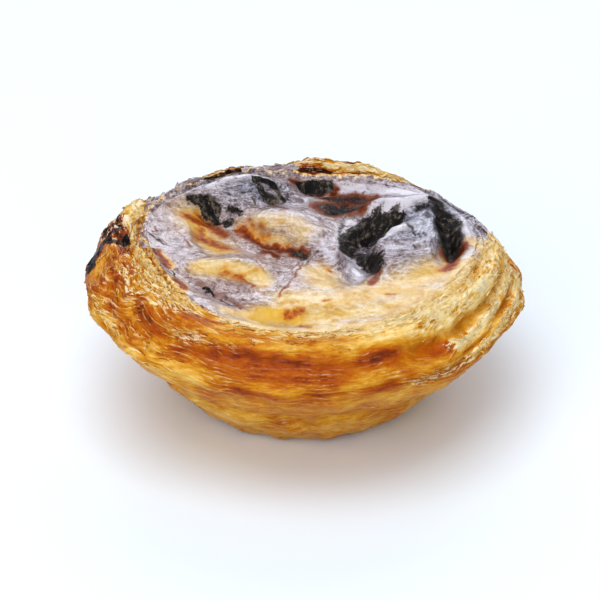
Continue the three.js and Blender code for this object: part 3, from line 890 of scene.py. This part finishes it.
def lump_heights(x, y):
    """Lumps with their own reach in front and behind, so that one side can be steep."""
    height = np.zeros_like(x)
    for (at_x, at_y), (wide, behind, before), lean, square, rise in LUMPS:
        cos, sin = math.cos(math.radians(lean)), math.sin(math.radians(lean))
        across = ((x - at_x) * cos + (y - at_y) * sin) / wide
        depth = (y - at_y) * cos - (x - at_x) * sin
        depth = depth / np.where(depth > 0, behind, before)
        height += rise * np.exp(-((across**2 + depth**2) ** square))
    return height


def fold_heights(x, y):
    height = np.zeros_like(x)
    for run, (left, right), rise in FOLDS:
        away, side, gone = beside_run(x, y, run)
        height += rise * np.sin(math.pi * (0.12 + 0.76 * gone)) * bell(away / np.where(side > 0, left, right))
    return height


def stains(runs, x, y):
    """The strongest of the stains at each point."""
    field = np.zeros_like(x)
    for run, wide, amount in runs:
        field = np.maximum(field, amount * np.exp(-((beside_run(x, y, run)[0] / wide) ** 2)))
    return field


def make_custard(crust):
    turn = COLUMN_TURNS
    share = np.linspace(0, 1, CUSTARD_RINGS + 1)[:, None] ** 0.9
    over = np.linspace(0, 1, SPILL_RINGS + 1)[1:, None]
    lip_ragged = noise_over(round_the_tart(turn, fill_radius(turn), 0 * turn), 2.4, 4.4, octaves=3)
    spill = 0.5 + sum(wide * bell(turn_between(at, turn) / reach) for at, reach, wide in SPILLS)
    spill = (spill + (0.6 + 0.2 * spill) * lip_ragged).clip(0.3, 11)
    lip, lip_normals = crust[::-1][:LIP_ROWS], surface_normals(crust)[::-1][:LIP_ROWS]
    gone = np.linalg.norm(np.diff(lip, axis=0, prepend=lip[:1]), axis=-1).cumsum(axis=0)

    def along_lip(field):
        return np.stack([
            np.stack([np.interp((spill * over)[:, c], gone[:, c], field[:, c, k]) for k in range(3)], axis=-1)
            for c in range(CUP_COLUMNS)], axis=1)

    on_crust, on_crust_normals = along_lip(lip), along_lip(lip_normals)
    flat = fill_radius(turn) * share
    plan = np.concatenate([round_the_tart(turn, flat, 0 * flat), on_crust * [1, 1, 0]])
    x, y = plan[..., 0], plan[..., 1]

    swirl = noise_over(plan, 6.0, 2.2)
    pucker = noise_over(plan, 2.0, 7.9, octaves=3)
    warp_x, warp_y = x + 0.7 * swirl + 0.15 * pucker, y - 0.7 * swirl + 0.15 * pucker
    relief = lump_heights(warp_x, warp_y) + fold_heights(warp_x, warp_y)
    film = (1 - stains(CREAM, x + 1.4 * swirl + 0.7 * pucker, y + swirl)).clip(0, 1)
    jag_x, jag_y = x + 0.8 * pucker + 0.3 * swirl, y + 0.6 * pucker - 0.3 * swirl
    flow = relief + 1.2 * swirl
    creases = 1 - 2 * np.abs(noise_over(np.stack([x, y, 3.2 * flow], axis=-1), 4.2, 9.7))
    fine = (0.03 + 0.16 * film) * creases + 0.14 * pucker + 0.3 * swirl

    # The skin runs on over the lip, a little above the crust, and dips into it at its ragged edge.
    edge = FILL_HEIGHT + (fill_height(turn) - FILL_HEIGHT) * share**2
    height = edge + SKIN_LIFT - CUSTARD_SAG * (1 - share**4)
    height = height + (relief + fine)[: CUSTARD_RINGS + 1] * (1 - share**26)
    at, reach, rise = LIP_FILLET
    fillet = rise * bell(turn_between(at, turn) / reach)
    height = height + fillet * share**9
    skirt = on_crust + on_crust_normals * (SKIN_LIFT * (1 - over**3) - EDGE_DIP * over**6)[..., None]
    skirt[..., 2] += fillet * (1 - over) ** 2
    plan[: CUSTARD_RINGS + 1, :, 2], plan[CUSTARD_RINGS + 1 :] = height, skirt

    points = np.concatenate([plan, bowl_points(turn, CUSTARD_WALL_ROWS)])
    cool = sum(bell((x - at_x) / wide) * bell((y - at_y) / deep) for (at_x, at_y), (wide, deep) in COOL)
    inward = np.concatenate([spill + (1 - share) * fill_radius(turn), spill * (1 - over)])
    at, reach = BARE_RIM
    rim = bell(inward / (0.6 + 0.35 * spill.clip(0, 3))) * (1 - 0.8 * bell(turn_between(at, turn) / reach))
    marks = {
        "burn_and_shade": stains(BURNS_AND_SHADE, jag_x, jag_y),
        "soot_and_shade": stains(SOOT_AND_SHADE, jag_x, jag_y),
        "film": film,
        "clear": stains(CLEAR, x + 1.2 * swirl, y + 1.2 * pucker),
        "flow": flow,
        "painted_sheen": stains(PAINTED_SHEEN, jag_x, jag_y),
        "cool": cool.clip(0, 1),
        "rim": rim,
    }
    return rolled_sheet("custard_fill", points, marks)


def custard_finish():
    finish = Finish("scorched_custard", Coat_Roughness=0.22, Specular_IOR_Level=0.12)
    spread, times, total = finish.spread, finish.times, finish.total
    mix, ramp, grain = finish.mix, finish.ramp, finish.grain
    flow, film, burn_and_shade, soot_and_shade = (finish.mark(name) for name in ("flow", "film", "burn_and_shade", "soot_and_shade"))
    wood = grain(5.0, 4, 0.6, flow=(flow, 4.0))
    fibres = grain(1.9, 5, 0.72, flow=(flow, 9.0))
    specks = grain(0.9, 5, 0.75)
    # Streaks run out from the middle: the direction is their place, and they flow with the distance.
    level = finish.vector("MULTIPLY", finish.place, (1.0, 1.0, 0.0))
    outward = finish.vector("SCALE", finish.vector("NORMALIZE", level), scale=20.0)
    streaks = grain(1 / 0.9, 5, 0.7, flow=(finish.vector("LENGTH", level), 0.2), place=outward)

    cream = ramp(total((wood, 0.5), (fibres, 0.3), (specks, 0.2)), [
        (0.41, (196, 146, 54)), (0.49, (220, 184, 104)), (0.57, (238, 214, 158))])
    clear = spread(total((finish.mark("clear"), 1.0), (wood, 0.6)), 0.35, 1.05)
    cream = mix(clear, cream, tint((218, 172, 42)))
    filmed = spread(total((film, 1.0), (wood, 0.9), (fibres, 0.5)), 0.52, 1.66)
    crumple = total((fibres, 0.5), (specks, 0.5))
    warm_skin = ramp(crumple, [(0.42, (84, 56, 52)), (0.49, (148, 120, 118)), (0.55, (200, 182, 182))])
    cool_skin = ramp(crumple, [(0.43, (38, 36, 44)), (0.49, (104, 102, 118)), (0.55, (176, 178, 198))])
    skin = mix(finish.mark("cool"), warm_skin, cool_skin)
    # Painted sheen: the skin is lightened to lavender-white where it mirrors the bright light behind.
    painted_sheen = total((finish.mark("painted_sheen"), 1.0), (fibres, 0.8), (wood, 0.5))
    skin = mix(spread(painted_sheen, 0.75, 1.6), skin, tint((206, 200, 212)))
    creases = finish.math("ABSOLUTE", finish.math("SUBTRACT", fibres, 0.5))
    creases = times(spread(creases, 0.016, 0.004), spread(specks, 0.46, 0.54), 0.6)
    pitted = finish.math("MAXIMUM", spread(total((specks, 1.0), (streaks, 0.5)), 0.84, 0.9), creases)
    skin = mix(times(pitted, 0.8), skin, tint((74, 46, 40)))
    base = mix(filmed, cream, skin)

    burn_and_shade = total((burn_and_shade, 0.9), (fibres, 0.35), (specks, 0.9), (streaks, 0.55), start=-0.9)
    scorched = ramp(burn_and_shade, [
        (0.10, (218, 160, 56)), (0.32, (202, 122, 24)), (0.52, (164, 72, 14)), (0.75, (96, 36, 14)),
        (1.00, (40, 20, 16))])
    browned = ramp(burn_and_shade, [
        (0.10, (130, 100, 92)), (0.34, (124, 80, 60)), (0.54, (122, 54, 24)), (0.72, (76, 31, 16)),
        (1.00, (36, 20, 16))])
    burned = spread(burn_and_shade, 0.08, 0.5)
    colour = mix(burned, base, mix(filmed, scorched, browned))
    sooted = spread(total((soot_and_shade, 1.0), (streaks, 1.0), (specks, 2.4), (fibres, 0.6)), 2.38, 2.64)
    ash = ramp(total((streaks, 0.5), (specks, 0.5)), [
        (0.45, (7, 6, 6)), (0.52, (26, 22, 19)), (0.59, (100, 90, 80))])
    colour = mix(sooted, colour, ash)
    crumbs = spread(total((finish.mark("rim"), 1.0), (fibres, 1.0), (specks, 2.4)), 2.25, 2.5)
    crust = ramp(specks, [(0.38, (186, 112, 30)), (0.50, (228, 180, 92)), (0.62, (246, 226, 176))])
    colour = mix(crumbs, colour, crust)

    ripples = total((fibres, 1.0), (specks, 0.3), (streaks, 0.3))
    normal = finish.bump(times(ripples, total((filmed, 0.8), start=0.2)), 0.15)
    normal = finish.bump(specks, 0.02, under=normal)
    coat = finish.math("ADD", total((filmed, 0.55), (sooted, -0.95), (burned, -1.1)), 0.4, clamp=True)
    rough = total((fibres, 0.2), (sooted, 0.15), start=0.28)
    finish.wire(Base_Color=colour, Normal=normal, Roughness=rough, Coat_Weight=coat)
    return finish.material


custard = make_custard(pastry_skin)
custard.data.materials.append(custard_finish())
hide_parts("custard")
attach(custard, "root")

# ---- Floor, light and camera ----
# A pale table top under soft boxes: a broad one above and behind, which the glossy skin mirrors,
# and a weaker one over the front.

TABLE_HALF_WIDTH = 4.0
floor_sheet = bmesh.new()
bmesh.ops.create_grid(floor_sheet, x_segments=1, y_segments=1, size=TABLE_HALF_WIDTH)
floor_mesh = bpy.data.meshes.new("table_top")
floor_sheet.to_mesh(floor_mesh)
floor_sheet.free()
floor = set_out("table_top", floor_mesh)
paint = Finish("pale_table", Roughness=0.9, Base_Color=tint((238, 247, 255)), Specular_IOR_Level=0.1)
floor.data.materials.append(paint.material)

TARGET = (0, 0, BRIM_HEIGHT * MM)


def soft_box(name, place, size, power, colour=(1, 1, 1)):
    """A lamp of this size in metres and power in watts, turned to the tart."""
    lamp = bpy.data.lights.new(name, "AREA")
    lamp.shape = "RECTANGLE"
    lamp.size, lamp.size_y = size
    lamp.energy = power
    lamp.color = colour
    box = set_out(name, lamp)
    box.location = place
    box.rotation_euler = (Vector(TARGET) - Vector(place)).to_track_quat("-Z", "Y").to_euler()


soft_box("back_box", (0.05, 0.85, 0.5), (0.8, 0.5), 4.2, (0.84, 0.88, 1.0))
soft_box("top_box", (-0.1, -0.1, 0.9), (0.8, 0.8), 5.0)
soft_box("front_box", (-0.2, -0.8, 0.5), (1.2, 0.6), 5.8, (1.0, 0.99, 0.98))

world = bpy.data.worlds.new("studio")
world.use_nodes = True
sky = world.node_tree.nodes["Background"].inputs
sky["Color"].default_value = (0.93, 0.96, 1, 1)
sky["Strength"].default_value = 0.3
bpy.context.scene.world = world
bpy.context.scene.view_settings.view_transform = "Standard"

VIEW_ELEVATION = math.radians(28)
VIEW_DISTANCE = 0.5
SENSOR = 36.0
PIXELS_PER_METRE = 5425.0  # at the target
IMAGE_WIDTH = 600
SHIFT_PIXELS = (5, 13)  # how far the tart stands right of the image's middle, and above it
camera_data = bpy.data.cameras.new("camera")
camera_data.sensor_width = SENSOR
camera_data.lens = SENSOR * VIEW_DISTANCE * PIXELS_PER_METRE / IMAGE_WIDTH
camera_data.shift_x, camera_data.shift_y = (-pixels / IMAGE_WIDTH for pixels in SHIFT_PIXELS)
camera_data.clip_start = 0.01
camera = set_out("camera", camera_data)
reach = Vector((0, -math.cos(VIEW_ELEVATION), math.sin(VIEW_ELEVATION))) * VIEW_DISTANCE
camera.location = Vector(TARGET) + reach
camera.rotation_euler = (math.pi / 2 - VIEW_ELEVATION, 0, 0)
bpy.context.scene.camera = camera
